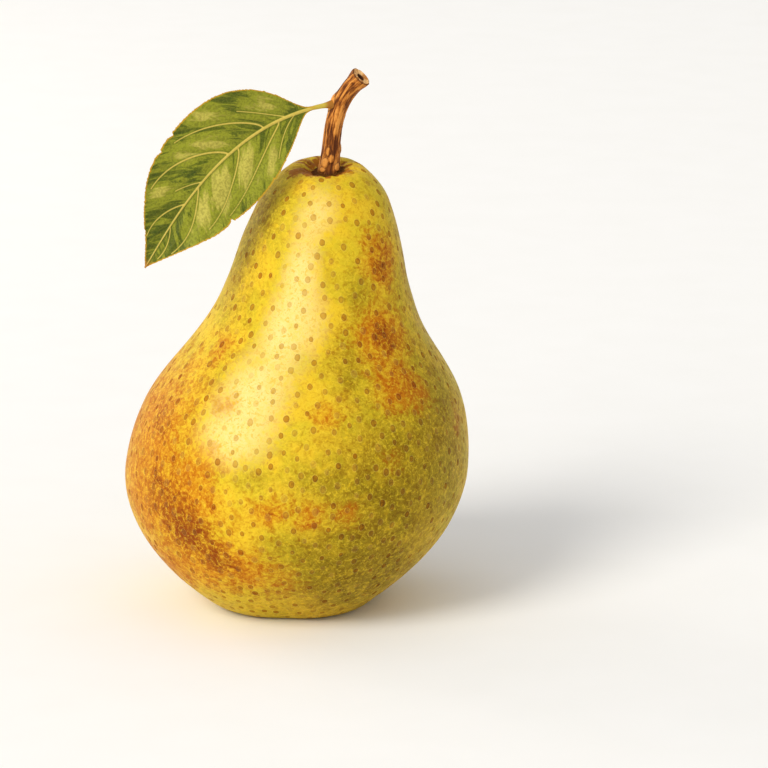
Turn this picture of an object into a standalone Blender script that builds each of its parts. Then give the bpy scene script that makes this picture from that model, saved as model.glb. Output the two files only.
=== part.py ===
"""A ripe pear that stands on its base, with its stem, one leaf and the dried calyx underneath.

Metres, +Z up. The origin is on the table, under the middle of the fruit's belly. The neck leans to +X,
and the leaf hangs from the stem on the -X side and comes a little forward, to -Y.
"""

import math

import bmesh
import bpy
from mathutils import Vector

# Overall sizes of the fruit, and how far it is from a plain turned shape
FRUIT_HEIGHT = 0.0889
BELLY_RADIUS = 0.0345
NECK_LEAN = 0.0071
CROWN_TILT = math.radians(9)
OVAL = 0.0006

# The flat ring that it stands on, and the grooves that run up from it between five soft lobes
FOOT_INNER_RADIUS = 0.0090
FOOT_OUTER_RADIUS = 0.0140
GROOVE_COUNT = 5
GROOVE_DEPTH = 0.0013
GROOVE_TURN = math.radians(-95)

# The basin that holds the calyx, inside the ring, and the cavity that the stem stands in
BASIN_DEPTH = 0.0052
BASIN_FLOOR_RADIUS = 0.0036
CAVITY_RADIUS = 0.0054
CAVITY_DEPTH = 0.0015

# The flank from the ring to the shoulder: share of the belly's radius, share of the fruit's height, and
# heading in degrees, where 0 runs outward, 90 up and 180 inward
BELLY_SHARE = 0.312
FLANK = (
    (0.625, 0.045, 39),
    (0.872, 0.155, 60),
    (1.000, BELLY_SHARE, 90),
    (0.922, 0.466, 112),
    (0.667, 0.621, 123),
    (0.530, 0.736, 108),
    (0.458, 0.837, 107),
    (0.377, 0.922, 113),
    (0.238, 0.989, 140),
)

# The stem, with its swollen foot, its flared cut end and the hollow pith there
STEM_RADIUS = 0.00175
STEM_FOOT_RADIUS = 0.0022
STEM_FOOT_LENGTH = 0.0035
STEM_TIP_RADIUS = 0.0021
STEM_TIP_LENGTH = 0.0020
STEM_OFFSET = 0.0006
SOCKET_DEPTH = 0.0045
PITH_RADIUS = 0.0007
PITH_DEPTH = 0.0015

# The stem's middle line above its seat: how far along +X, +Y and +Z each point is
STEM_PATH = (
    (0.0000, 0.0000, 0.0000),
    (0.0003, 0.0000, 0.0029),
    (0.0009, -0.0004, 0.0090),
    (0.0021, -0.0010, 0.0135),
    (0.0040, -0.0020, 0.0172),
    (0.0064, -0.0030, 0.0199),
)

# The leaf: a round petiole that springs from the stem and runs on as the midrib of the blade
LEAF_JOINT_HEIGHT = 0.0138
LEAF_SWING = math.radians(22)
LEAF_DROOP_AT_STEM = math.radians(5)
LEAF_DROOP_AT_TIP = math.radians(57)
LEAF_ROLL = math.radians(12)
LEAF_FOLD = math.radians(9)
LEAF_WAVE = 0.0007
PETIOLE_LENGTH = 0.0048
PETIOLE_RADIUS = 0.0006
PETIOLE_FOOT_RADIUS = 0.0011
PETIOLE_FOOT_LENGTH = 0.0012
BLADE_LENGTH = 0.0456
UPPER_HALF_WIDTH = 0.0112
LOWER_HALF_WIDTH = 0.0107
BLADE_THICKNESS = 0.0004
MIDRIB_THICKNESS = 0.0010
# Where the blade is widest and how fast it widens, and where its base and tip end, as shares of its length
BLADE_WIDEST = 0.45
BLADE_RISE = 0.92
BLADE_BASE = 0.06
BLADE_TIP = 0.985

# The dried calyx: sepals round a tuft of stamens
SEPAL_COUNT = 5
SEPAL_TURN = math.radians(20)
SEPAL_ROOT_RADIUS = 0.0021
SEPAL_LENGTH = 0.0042
SEPAL_HALF_WIDTH = 0.0009
SEPAL_THICKNESS = 0.0004
SEPAL_FOLD = math.radians(15)
SEPAL_DROOP_AT_ROOT = math.radians(20)
SEPAL_DROOP_AT_TIP = math.radians(70)
TUFT_RADIUS = 0.0013
TUFT_THICKNESS = 0.0008
STAMEN_LENGTH = 0.0013
STAMEN_TIP_SCALE = 0.35
STAMEN_SPREAD = 0.45

# Pieces that touch keep this gap
CLEARANCE = 0.0003

# Fineness of the meshes
FRUIT_STEPS = 48
RING_SPACING = 0.003
STEM_STEPS = 5
LEAF_STEPS = 34
SEPAL_STEPS = 6
COLUMNS = 8
WELD = 0.000001


def clear_scene():
    for obj in list(bpy.data.objects):
        bpy.data.objects.remove(obj, do_unlink=True)


def new_collection(name):
    collection = bpy.data.collections.new(name)
    bpy.context.scene.collection.children.link(collection)
    return collection


def new_material(name, color, roughness):
    material = bpy.data.materials.new(name)
    material.use_nodes = True
    shader = material.node_tree.nodes["Principled BSDF"]
    shader.inputs["Base Color"].default_value = (*color, 1.0)
    shader.inputs["Roughness"].default_value = roughness
    shader.inputs["Metallic"].default_value = 0.0
    material.diffuse_color = (*color, 1.0)
    return material


def new_object(name, mesh, collection, material=None):
    """An object that shows this mesh, shaded smooth except at its sharp edges."""
    mesh.shade_smooth()
    mesh.set_sharp_from_angle(angle=math.radians(45))
    if material:
        mesh.materials.append(material)
    obj = bpy.data.objects.new(name, mesh)
    collection.objects.link(obj)
    return obj


def mesh_from(shape, name):
    mesh = bpy.data.meshes.new(name)
    shape.to_mesh(mesh)
    shape.free()
    return mesh


def evaluated_mesh(obj, name):
    """A guide's mesh with its modifiers applied and its seams and caps welded. The guide is removed."""
    graph = bpy.context.evaluated_depsgraph_get()
    made = bpy.data.meshes.new_from_object(obj.evaluated_get(graph))
    shape = bmesh.new()
    shape.from_mesh(made)
    bmesh.ops.remove_doubles(shape, verts=shape.verts, dist=WELD)
    bpy.data.objects.remove(obj, do_unlink=True)
    return mesh_from(shape, name)


def cut_round_hole(obj, cutters, name, radius, length, middle, along):
    """Cuts a cylinder out of the object: its middle is a point, and its axis lies along a direction."""
    shape = bmesh.new()
    bmesh.ops.create_cone(
        shape, cap_ends=True, segments=24, radius1=radius, radius2=radius, depth=length
    )
    cutter = new_object(name, mesh_from(shape, name), cutters)
    cutter.location = middle
    cutter.rotation_euler = along.to_track_quat("Z", "Y").to_euler()
    cutter.hide_render = True
    cutter.display_type = "WIRE"
    boolean = obj.modifiers.new(name, "BOOLEAN")
    boolean.operation = "DIFFERENCE"
    boolean.solver = "EXACT"
    boolean.object = cutter


def smooth_step(value):
    value = min(max(value, 0.0), 1.0)
    return value * value * (3.0 - 2.0 * value)


def bell(distance, length):
    """1 at no distance, falling smoothly to almost nothing at twice the length."""
    return math.exp(-((distance / length) ** 2))


def hermite(start, end, start_slope, end_slope, share):
    """A point on the curve that leaves start along one slope and reaches end along the other."""
    square = share * share
    cube = square * share
    return (
        start * (2 * cube - 3 * square + 1)
        + start_slope * (cube - 2 * square + share)
        + end * (3 * square - 2 * cube)
        + end_slope * (cube - square)
    )


# Fruit: one turned outline, then grooved, made oval and leant over


def outline_stations():
    """(radius, height, heading) from the middle of the basin, round the outside, to the cavity."""
    basin = [
        (0.0, BASIN_DEPTH, 0),
        (BASIN_FLOOR_RADIUS, 0.92 * BASIN_DEPTH, -25),
        ((BASIN_FLOOR_RADIUS + 2 * FOOT_INNER_RADIUS) / 3, 0.27 * BASIN_DEPTH, -48),
        (FOOT_INNER_RADIUS, 0.0, 0),
        (FOOT_OUTER_RADIUS, 0.0, 0),
    ]
    flank = [(share * BELLY_RADIUS, rise * FRUIT_HEIGHT, heading) for share, rise, heading in FLANK]
    cavity = [
        (CAVITY_RADIUS, FRUIT_HEIGHT, 180),
        (0.6 * CAVITY_RADIUS, FRUIT_HEIGHT - 0.7 * CAVITY_DEPTH, 210),
        (0.0, FRUIT_HEIGHT - CAVITY_DEPTH, 180),
    ]
    return basin + flank + cavity


def heading_vector(degrees):
    return Vector((math.cos(math.radians(degrees)), math.sin(math.radians(degrees))))


def fruit_outline():
    """Points (radius, height) on a smooth curve through the stations."""
    stations = outline_stations()
    points = []
    for here, there in zip(stations[:-1], stations[1:]):
        start = Vector(here[:2])
        end = Vector(there[:2])
        chord = (end - start).length
        start_slope = heading_vector(here[2]) * chord
        end_slope = heading_vector(there[2]) * chord
        steps = max(2, round(chord / RING_SPACING))
        for step in range(steps):
            points.append(hermite(start, end, start_slope, end_slope, step / steps))
    points.append(Vector(stations[-1][:2]))
    return points


def lean_shape(share):
    """How much of the lean is reached at this share of the height: slow at the base, then steady."""
    return share - 0.11 * math.sin(math.pi * share) - 0.08 * math.sin(2 * math.pi * share)


def axis_x(height):
    """Where the middle of the fruit is at this height. It is 0 at the belly."""
    return NECK_LEAN * (lean_shape(height / FRUIT_HEIGHT) - lean_shape(BELLY_SHARE))


def fruit_point(radius, azimuth, height):
    """A point of the turned shape, moved by the grooves, the oval, the lean and the crown's tilt."""
    outward = (radius - FOOT_INNER_RADIUS) / (BELLY_RADIUS - FOOT_INNER_RADIUS)
    if height < BELLY_SHARE * FRUIT_HEIGHT and 0.0 < outward < 1.0:
        around = 0.5 + 0.5 * math.cos(GROOVE_COUNT * (azimuth - GROOVE_TURN))
        radius -= GROOVE_DEPTH * around**2 * math.sin(math.pi * outward) ** 2
    x = radius * math.cos(azimuth) + axis_x(height)
    y = radius * math.sin(azimuth) * (1.0 - OVAL / BELLY_RADIUS)
    tilt = math.tan(CROWN_TILT) * smooth_step((height / FRUIT_HEIGHT - 0.6) / 0.4)
    return Vector((x, y, height + y * tilt))


def make_fruit(collection, cutters, material):
    points = [(point.x, 0.0, point.y) for point in reversed(fruit_outline())]
    edges = [(i, i + 1) for i in range(len(points) - 1)]
    profile = bpy.data.meshes.new("fruit_outline")
    profile.from_pydata(points, edges, [])
    guide = bpy.data.objects.new("fruit_outline", profile)
    cutters.objects.link(guide)
    screw = guide.modifiers.new("Turn", "SCREW")
    screw.steps = FRUIT_STEPS
    screw.render_steps = FRUIT_STEPS
    screw.use_merge_vertices = True
    screw.merge_threshold = 0.00001
    mesh = evaluated_mesh(guide, "fruit")
    for vertex in mesh.vertices:
        x, y, height = vertex.co
        vertex.co = fruit_point(math.hypot(x, y), math.atan2(y, x), height)
    fruit = new_object("fruit", mesh, collection, material)
    line = stem_line()
    up = (line[2] - line[0]).normalized()
    length = SOCKET_DEPTH + 2 * CAVITY_DEPTH
    middle = stem_seat() + up * (length / 2 - SOCKET_DEPTH)
    radius = STEM_FOOT_RADIUS + CLEARANCE
    cut_round_hole(fruit, cutters, "stem_socket", radius, length, middle, up)


# Stem: a tube along a smooth line, from the bottom of its socket to its cut end


def stem_seat():
    """Where the stem comes out of the floor of the cavity."""
    height = FRUIT_HEIGHT - CAVITY_DEPTH
    return Vector((axis_x(height) + STEM_OFFSET, 0.0, height))


def stem_line():
    points = [stem_seat() + Vector(step) for step in STEM_PATH]
    last = len(points) - 1
    slopes = [(points[min(i + 1, last)] - points[max(i - 1, 0)]) / 2 for i in range(last + 1)]
    line = []
    for i in range(last):
        for step in range(STEM_STEPS):
            share = step / STEM_STEPS
            line.append(hermite(points[i], points[i + 1], slopes[i], slopes[i + 1], share))
    line.append(points[last])
    down = (line[0] - line[1]).normalized() * (SOCKET_DEPTH - CLEARANCE)
    return [line[0] + down, line[0] + down / 2] + line


def stem_radius(point, line):
    from_seat = max(0.0, point.z - stem_seat().z)
    swell = (STEM_FOOT_RADIUS - STEM_RADIUS) * bell(from_seat, STEM_FOOT_LENGTH)
    flare = (STEM_TIP_RADIUS - STEM_RADIUS) * bell((line[-1] - point).length, STEM_TIP_LENGTH)
    return STEM_RADIUS + swell + flare


def make_stem(collection, cutters, material):
    line = stem_line()
    curve = bpy.data.curves.new("stem_line", "CURVE")
    curve.dimensions = "3D"
    curve.bevel_depth = STEM_RADIUS
    curve.bevel_resolution = 4
    curve.use_fill_caps = True
    spline = curve.splines.new("POLY")
    spline.points.add(len(line) - 1)
    for spline_point, point in zip(spline.points, line):
        spline_point.co = (*point, 1.0)
        spline_point.radius = stem_radius(point, line) / STEM_RADIUS
    guide = bpy.data.objects.new("stem_line", curve)
    cutters.objects.link(guide)
    stem = new_object("stem", evaluated_mesh(guide, "stem"), collection, material)
    along = (line[-1] - line[-2]).normalized()
    cut_round_hole(stem, cutters, "stem_pith", PITH_RADIUS, 2 * PITH_DEPTH, line[-1], along)


# Lofts, for the pieces whose sections change from round to flat: the leaf and the sepals


def loft(name, sections, collection, material):
    """A closed skin over sections that all have the same number of points."""
    shape = bmesh.new()
    rings = [[shape.verts.new(point) for point in section] for section in sections]
    count = len(rings[0])
    for ring, next_ring in zip(rings[:-1], rings[1:]):
        for i in range(count):
            j = (i + 1) % count
            shape.faces.new((ring[i], ring[j], next_ring[j], next_ring[i]))
    shape.faces.new(reversed(rings[0]))
    shape.faces.new(rings[-1])
    bmesh.ops.recalc_face_normals(shape, faces=shape.faces)
    bmesh.ops.triangulate(shape, faces=[face for face in shape.faces if len(face.verts) > 4])
    return new_object(name, mesh_from(shape, name), collection, material)


def flat_section(middle, across, normal, half_widths, edge, thickness, fold, wave):
    """A section thickest in the middle, with its two halves folded up and their edges waved."""
    upper = []
    lower = []
    for column in range(COLUMNS + 1):
        share = 2 * column / COLUMNS - 1
        out = abs(share) * half_widths[share > 0]
        center = middle + across * math.copysign(out, share) * math.cos(fold)
        center += normal * (out * math.sin(fold) + wave * share * share)
        half = (edge + (thickness - edge) * (1 - abs(share)) ** 3) / 2
        upper.append(center + normal * half)
        lower.append(center - normal * half)
    return upper + lower[::-1]


def round_section(middle, across, normal, radius):
    """A round section with as many points as a flat one, in the same order."""
    points = []
    for side in (1, -1):
        for column in range(COLUMNS + 1):
            angle = math.pi * (column + 0.5) / (COLUMNS + 1)
            outward = normal * math.sin(angle) - across * math.cos(angle)
            points.append(middle + outward * side * radius)
    return points


# Leaf: it keeps clear of the stem by the clearance, whatever the stem's size


def leaf_direction(droop):
    level = math.cos(droop)
    return Vector(
        (-math.cos(LEAF_SWING) * level, -math.sin(LEAF_SWING) * level, -math.sin(droop))
    )


def leaf_foot():
    """The middle of the petiole's foot, at the side of the stem."""
    line = stem_line()
    height = stem_seat().z + LEAF_JOINT_HEIGHT
    above = next(i for i, point in enumerate(line) if point.z >= height)
    share = (height - line[above - 1].z) / (line[above].z - line[above - 1].z)
    middle = line[above - 1].lerp(line[above], share)
    along = (line[above] - line[above - 1]).normalized()
    start = leaf_direction(LEAF_DROOP_AT_STEM)
    outward = (start - along * start.dot(along)).normalized()
    slant = math.sqrt(max(0.0, 1.0 - start.dot(outward) ** 2))
    return middle + outward * (stem_radius(middle, line) + CLEARANCE + PETIOLE_FOOT_RADIUS * slant)


def leaf_line():
    """(distance, point, direction) along the petiole and the midrib, which droop towards the tip."""
    step_length = (PETIOLE_LENGTH + BLADE_LENGTH) / LEAF_STEPS
    point = leaf_foot()
    line = []
    for step in range(LEAF_STEPS + 1):
        bend = math.sin(math.pi / 2 * step / LEAF_STEPS)
        droop = LEAF_DROOP_AT_STEM + (LEAF_DROOP_AT_TIP - LEAF_DROOP_AT_STEM) * bend
        direction = leaf_direction(droop)
        line.append((step * step_length, point, direction))
        point = point + direction * step_length
    return line


def blade_shape(share):
    """The blade's half width as a share of its widest, from its base at 0 to its tip at 1."""
    fall = BLADE_RISE * (1 - BLADE_WIDEST) / BLADE_WIDEST
    return (share / BLADE_WIDEST) ** BLADE_RISE * ((1 - share) / (1 - BLADE_WIDEST)) ** fall


def make_leaf(collection, material):
    toward = Vector((0.0, -math.cos(LEAF_ROLL), math.sin(LEAF_ROLL)))
    sections = []
    for distance, middle, direction in leaf_line():
        normal = (toward - direction * toward.dot(direction)).normalized()
        across = direction.cross(normal)
        rolled = across * math.cos(LEAF_ROLL) + normal * math.sin(LEAF_ROLL)
        normal = normal * math.cos(LEAF_ROLL) - across * math.sin(LEAF_ROLL)
        foot = bell(distance, PETIOLE_FOOT_LENGTH)
        radius = PETIOLE_RADIUS + (PETIOLE_FOOT_RADIUS - PETIOLE_RADIUS) * foot
        share = min(max((distance - PETIOLE_LENGTH) / BLADE_LENGTH, 0.0), BLADE_TIP)
        shape = blade_shape(share)
        half_widths = [max(radius, width * shape) for width in (LOWER_HALF_WIDTH, UPPER_HALF_WIDTH)]
        thickness = MIDRIB_THICKNESS + (BLADE_THICKNESS - MIDRIB_THICKNESS) * share
        wave = LEAF_WAVE * math.sin(3 * math.pi * share) * math.sin(math.pi * share)
        flat = flat_section(
            middle, rolled, normal, half_widths, BLADE_THICKNESS, thickness, LEAF_FOLD, wave
        )
        stalk = round_section(middle, rolled, normal, radius)
        flatness = smooth_step(share / BLADE_BASE)
        sections.append([a.lerp(b, flatness) for a, b in zip(stalk, flat)])
    loft("leaf", sections, collection, material)


# Calyx: it stays inside the basin, above the surface that the pear stands on


def make_sepal(index, collection, material):
    """One dried sepal, which spreads from the middle of the basin and curls down."""
    azimuth = SEPAL_TURN + 2 * math.pi * index / SEPAL_COUNT
    outward = Vector((math.cos(azimuth), math.sin(azimuth), 0.0))
    across = Vector((-math.sin(azimuth), math.cos(azimuth), 0.0))
    height = BASIN_DEPTH - CLEARANCE - SEPAL_THICKNESS
    point = Vector((axis_x(height), 0.0, height)) + outward * SEPAL_ROOT_RADIUS
    edge = 0.6 * SEPAL_THICKNESS
    sections = []
    for step in range(SEPAL_STEPS + 1):
        share = step / SEPAL_STEPS
        droop = SEPAL_DROOP_AT_ROOT + (SEPAL_DROOP_AT_TIP - SEPAL_DROOP_AT_ROOT) * share
        direction = outward * math.cos(droop) + Vector((0.0, 0.0, -math.sin(droop)))
        taper = (0.75 + 0.9 * share) * (1.0 - share**2) ** 0.7
        half_widths = [max(SEPAL_HALF_WIDTH * taper, edge)] * 2
        normal = across.cross(direction)
        sections.append(
            flat_section(point, across, normal, half_widths, edge, SEPAL_THICKNESS, SEPAL_FOLD, 0.0)
        )
        point = point + direction * SEPAL_LENGTH / SEPAL_STEPS
    loft(f"sepal_{index + 1}", sections, collection, material)


def make_stamens(collection, material):
    """The dried tuft: a flat button whose underside is drawn out into short spikes."""
    top = BASIN_DEPTH - CLEARANCE
    middle = Vector((axis_x(top), 0.0, top - TUFT_THICKNESS / 2))
    shape = bmesh.new()
    bmesh.ops.create_icosphere(shape, subdivisions=2, radius=1.0)
    size = Vector((TUFT_RADIUS, TUFT_RADIUS, TUFT_THICKNESS / 2))
    bmesh.ops.scale(shape, vec=size, verts=shape.verts)
    shape.normal_update()
    under = [face for face in shape.faces if face.normal.z < -0.93]
    spikes = bmesh.ops.extrude_discrete_faces(shape, faces=under)["faces"]
    for number, spike in enumerate(spikes):
        center = spike.calc_center_median()
        length = STAMEN_LENGTH * (0.7, 1.0, 0.85)[number % 3]
        away = Vector((center.x * STAMEN_SPREAD, center.y * STAMEN_SPREAD, -length))
        for vertex in spike.verts:
            vertex.co = center + (vertex.co - center) * STAMEN_TIP_SCALE + away
    bmesh.ops.translate(shape, vec=middle, verts=shape.verts)
    new_object("stamens", mesh_from(shape, "stamens"), collection, material)


def main():
    clear_scene()
    pear = new_collection("pear")
    cutters = new_collection("pear_cutters")
    skin = new_material("pear_skin", (0.62, 0.50, 0.06), 0.42)
    bark = new_material("stem_bark", (0.13, 0.05, 0.02), 0.75)
    green = new_material("leaf_green", (0.11, 0.17, 0.02), 0.50)
    dried = new_material("dried_calyx", (0.06, 0.03, 0.015), 0.85)
    make_fruit(pear, cutters, skin)
    make_stem(pear, cutters, bark)
    make_leaf(pear, green)
    for index in range(SEPAL_COUNT):
        make_sepal(index, pear, dried)
    make_stamens(pear, dried)


main()
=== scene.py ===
"""The looks of a ripe pear: waxy skin with blush, green and lenticels, a barked stem, a leaf and a calyx.

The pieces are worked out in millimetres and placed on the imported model's own boxes. The neck leans to +X,
and the leaf hangs from the stem on the -X side.
"""

import math

import bmesh
import bpy
import numpy as np
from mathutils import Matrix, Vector, noise
from mathutils.kdtree import KDTree


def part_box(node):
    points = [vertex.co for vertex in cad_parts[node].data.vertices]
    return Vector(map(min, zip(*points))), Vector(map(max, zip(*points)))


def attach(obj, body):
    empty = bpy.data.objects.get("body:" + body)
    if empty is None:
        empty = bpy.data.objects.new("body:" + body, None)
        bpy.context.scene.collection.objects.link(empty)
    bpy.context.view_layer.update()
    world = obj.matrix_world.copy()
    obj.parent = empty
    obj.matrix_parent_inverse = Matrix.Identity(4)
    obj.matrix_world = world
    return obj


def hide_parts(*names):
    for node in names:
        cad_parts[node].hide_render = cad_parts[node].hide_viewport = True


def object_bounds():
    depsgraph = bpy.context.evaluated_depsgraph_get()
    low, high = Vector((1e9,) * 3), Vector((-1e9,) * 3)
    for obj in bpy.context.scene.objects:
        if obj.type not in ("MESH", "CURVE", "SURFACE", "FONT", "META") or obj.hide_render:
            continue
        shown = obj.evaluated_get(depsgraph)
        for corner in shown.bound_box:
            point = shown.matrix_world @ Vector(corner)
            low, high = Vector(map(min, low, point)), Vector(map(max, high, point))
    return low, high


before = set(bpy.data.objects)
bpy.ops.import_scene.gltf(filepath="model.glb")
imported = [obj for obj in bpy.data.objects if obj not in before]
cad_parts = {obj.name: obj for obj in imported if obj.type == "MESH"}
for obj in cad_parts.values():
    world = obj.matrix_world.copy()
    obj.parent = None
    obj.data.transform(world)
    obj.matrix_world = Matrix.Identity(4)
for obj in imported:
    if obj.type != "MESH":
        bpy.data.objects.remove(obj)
cad_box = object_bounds()


# Camera: a long lens in front of the pear, which it looks down on by 15 degrees. It aims to the right of
# the pear's middle, so that room is left on that side.

CAMERA_DISTANCE = 0.768
CAMERA_ELEVATION = math.radians(15)
AIM_RIGHT = 0.505
AIM_UP = 0.41

aim = Vector((AIM_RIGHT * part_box("fruit")[1].x, 0.0, AIM_UP * cad_box[1].z))
back = Vector((0.0, -math.cos(CAMERA_ELEVATION), math.sin(CAMERA_ELEVATION)))
camera_data = bpy.data.cameras.new("camera")
camera_data.lens = 180.0
camera_data.sensor_width = 36.0
camera_data.clip_start = 0.01
camera = bpy.data.objects.new("camera", camera_data)
camera.location = aim + back * CAMERA_DISTANCE
camera.rotation_mode = "QUATERNION"
camera.rotation_quaternion = (-back).to_track_quat("-Z", "Y")
bpy.context.scene.collection.objects.link(camera)
bpy.context.scene.camera = camera
bpy.context.scene.view_settings.view_transform = "Standard"


# Studio: a plain white board to stand on, in a pale room with a soft sun from the upper left front and
# two paper lanterns. The board is matt laminate, so it gives a soft contact shadow and no reflection.

BOARD_RADIUS = 7.0


def linear(code):
    """A hex colour as the eye sees it, turned to the linear values that a shader takes."""
    shares = [int(code[i : i + 2], 16) / 255 for i in (1, 3, 5)]
    return (*[s / 12.92 if s <= 0.04045 else ((s + 0.055) / 1.055) ** 2.4 for s in shares], 1.0)


def add_node(tree, kind, inputs, output=0, **settings):
    """Adds a node, makes its settings, sets or links its inputs, and returns one of its outputs."""
    node = tree.nodes.new(kind)
    for name, value in settings.items():
        setattr(node, name, value)
    for name, value in inputs.items():
        named = [s for s in node.inputs if s.enabled and s.name == name]
        socket = node.inputs[name] if isinstance(name, int) else named[0]
        if isinstance(value, bpy.types.NodeSocket):
            tree.links.new(value, socket)
        else:
            socket.default_value = value
    live = [s for s in node.outputs if s.enabled]
    return node.outputs[output] if isinstance(output, str) else live[output] if live else None


def empty_material(name):
    """A material with no nodes yet, and its tree."""
    material = bpy.data.materials.new(name)
    material.use_nodes = True
    material.node_tree.nodes.clear()
    return material, material.node_tree


def tinted(tree, color, tone, value, low, high, most=1.0, within=None, blend="MIX"):
    """A colour with this tone laid over it as the value goes from low to high: up to this share, and only
    within another share if one is given."""
    part = add_node(
        tree,
        "ShaderNodeMapRange",
        {"Value": value, "From Min": low, "From Max": high, "To Max": most},
        interpolation_type="SMOOTHSTEP",
    )
    if within is not None:
        part = add_node(tree, "ShaderNodeMath", {0: part, 1: within}, operation="MULTIPLY")
    return add_node(
        tree, "ShaderNodeMix", {"Factor": part, "A": color, "B": tone}, data_type="RGBA", blend_type=blend
    )


def surfaced(tree, color, roughness, specular, height, strength, depth):
    """Ends a material with its colour, roughness and specular level, over a relief this deep in metres."""
    relief = add_node(tree, "ShaderNodeBump", {"Height": height, "Strength": strength, "Distance": depth})
    face = add_node(
        tree,
        "ShaderNodeBsdfPrincipled",
        {"Base Color": color, "Roughness": roughness, "Specular IOR Level": specular, "Normal": relief},
    )
    add_node(tree, "ShaderNodeOutputMaterial", {"Surface": face})


def light(name, kind, place, strength, color, **settings):
    """A light at a place, in metres, that looks at the middle of the pear."""
    data = bpy.data.lights.new(name, kind)
    data.energy = strength
    data.color = linear(color)[:3]
    for setting, value in settings.items():
        setattr(data, setting, value)
    lamp = bpy.data.objects.new(name, data)
    lamp.location = place
    lamp.rotation_mode = "QUATERNION"
    lamp.rotation_quaternion = (aim - lamp.location).to_track_quat("-Z", "Y")
    bpy.context.scene.collection.objects.link(lamp)


light("sun", "SUN", (-0.75, -0.80, 0.95), 1.72, "#FFFBF3", angle=math.radians(26))
light("lantern", "POINT", (-0.50, -0.75, 0.45), 6.0, "#FFFBF3", shadow_soft_size=0.22)
light("back_left", "POINT", (-0.60, 0.45, 0.30), 4.0, "#FFF6E8", shadow_soft_size=0.20)

room = bpy.data.worlds.new("pale_room")
room.use_nodes = True
room.node_tree.nodes.clear()
bpy.context.scene.world = room
way = add_node(room.node_tree, "ShaderNodeTexCoord", {}, "Generated")
rise = add_node(room.node_tree, "ShaderNodeSeparateXYZ", {"Vector": way}, "Z")
# The room is bright only just over the board's far edge, so that the edge doesn't show
wall = tinted(room.node_tree, linear("#ECEBE7"), linear("#C3C4C6"), rise, 0.07, 0.24)
glow = add_node(room.node_tree, "ShaderNodeBackground", {"Color": wall, "Strength": 1.06})
add_node(room.node_tree, "ShaderNodeOutputWorld", {"Surface": glow})

laminate, tree = empty_material("white_laminate")
speck = add_node(tree, "ShaderNodeTexNoise", {"Scale": 900.0, "Detail": 2.0})
shade = add_node(
    tree,
    "ShaderNodeMix",
    {"Factor": speck, "A": linear("#F8F7F4"), "B": linear("#FBFAF8")},
    data_type="RGBA",
)
dull = add_node(tree, "ShaderNodeMapRange", {"Value": speck, "To Min": 0.82, "To Max": 0.95})
surfaced(tree, shade, dull, 0.2, speck, 0.1, 0.0002)

outline = bmesh.new()
bmesh.ops.create_circle(outline, cap_ends=True, segments=96, radius=BOARD_RADIUS)
board_mesh = bpy.data.meshes.new("board")
outline.to_mesh(board_mesh)
outline.free()
board_mesh.materials.append(laminate)
board = bpy.data.objects.new("board", board_mesh)
bpy.context.scene.collection.objects.link(board)


# Fruit: flesh under a thin waxy skin, one turned form that leans, with five soft lobes round the calyx.
# The stem's cavity is pleated and russeted, and the skin is dotted all over with lenticels, its pores.

TO_MM = 1000.0
FRUIT_HEIGHT = 88.9
BELLY_RADIUS = 34.5
NECK_LEAN = 7.1
CROWN_TILT = math.radians(9)
OVAL = 0.6
FOOT_INNER_RADIUS = 9.0
FOOT_OUTER_RADIUS = 14.0
GROOVE_COUNT = 5
GROOVE_DEPTH = 1.3
GROOVE_TURN = math.radians(-95)
BASIN_DEPTH = 5.2
BASIN_FLOOR_RADIUS = 3.6
CAVITY_RADIUS = 5.4
CAVITY_DEPTH = 1.5
STEM_OFFSET = 0.6

# Share of the belly's radius, share of the height, and heading: 0 outward, 90 up, 180 inward
BELLY_SHARE = 0.312
FLANK = (
    (0.625, 0.045, 39),
    (0.872, 0.155, 60),
    (1.000, BELLY_SHARE, 90),
    (0.922, 0.466, 112),
    (0.667, 0.621, 123),
    (0.530, 0.736, 108),
    (0.458, 0.837, 107),
    (0.377, 0.922, 113),
    (0.238, 0.989, 140),
)
FRUIT_ROWS = 256
FRUIT_COLUMNS = 382
BASIN_ROWS_CLOSER = 1.7
END_ROW_GAP = 0.002
LEAN_BOW = 0.11
LEAN_SWAY = 0.08
TILT_FROM = 0.6
# Low swells of the skin: how high, and how wide, in mm
SWELLS = ((0.34, 21.0), (0.07, 6.0))
PLEAT_COUNT = 13
PLEAT_DEPTH = 0.11
PLEAT_DISTANCE = 4.2
CAVITY_FILL = 0.75


def smooth_step(value):
    value = np.clip(value, 0.0, 1.0)
    return value * value * (3.0 - 2.0 * value)


def bell(distance, length):
    """1 at no distance, falling smoothly to almost nothing at twice the length."""
    return np.exp(-((distance / length) ** 2))


def hermite(start, end, start_slope, end_slope, share):
    """Points on the curve that leaves start along one slope and reaches end along the other."""
    square = share * share
    cube = square * share
    return (
        start * (2 * cube - 3 * square + 1)
        + start_slope * (cube - 2 * square + share)
        + end * (3 * square - 2 * cube)
        + end_slope * (cube - square)
    )


def noise_at(points, size):
    """Smooth noise from about -1 to 1 at each point, with lumps of this size in the points' own unit."""
    flat = points.reshape(-1, 3) / size
    return np.array([noise.noise(Vector(point)) for point in flat]).reshape(points.shape[:-1])


def on_node(points, plain, node):
    """Points in millimetres, placed in metres so that the plain form's box falls on the CAD node's box."""
    low, high = plain.reshape(-1, 3).min(0), plain.reshape(-1, 3).max(0)
    node_low, node_high = (np.array(corner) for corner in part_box(node))
    return node_low + (points - low) * (node_high - node_low) / (high - low)


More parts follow.
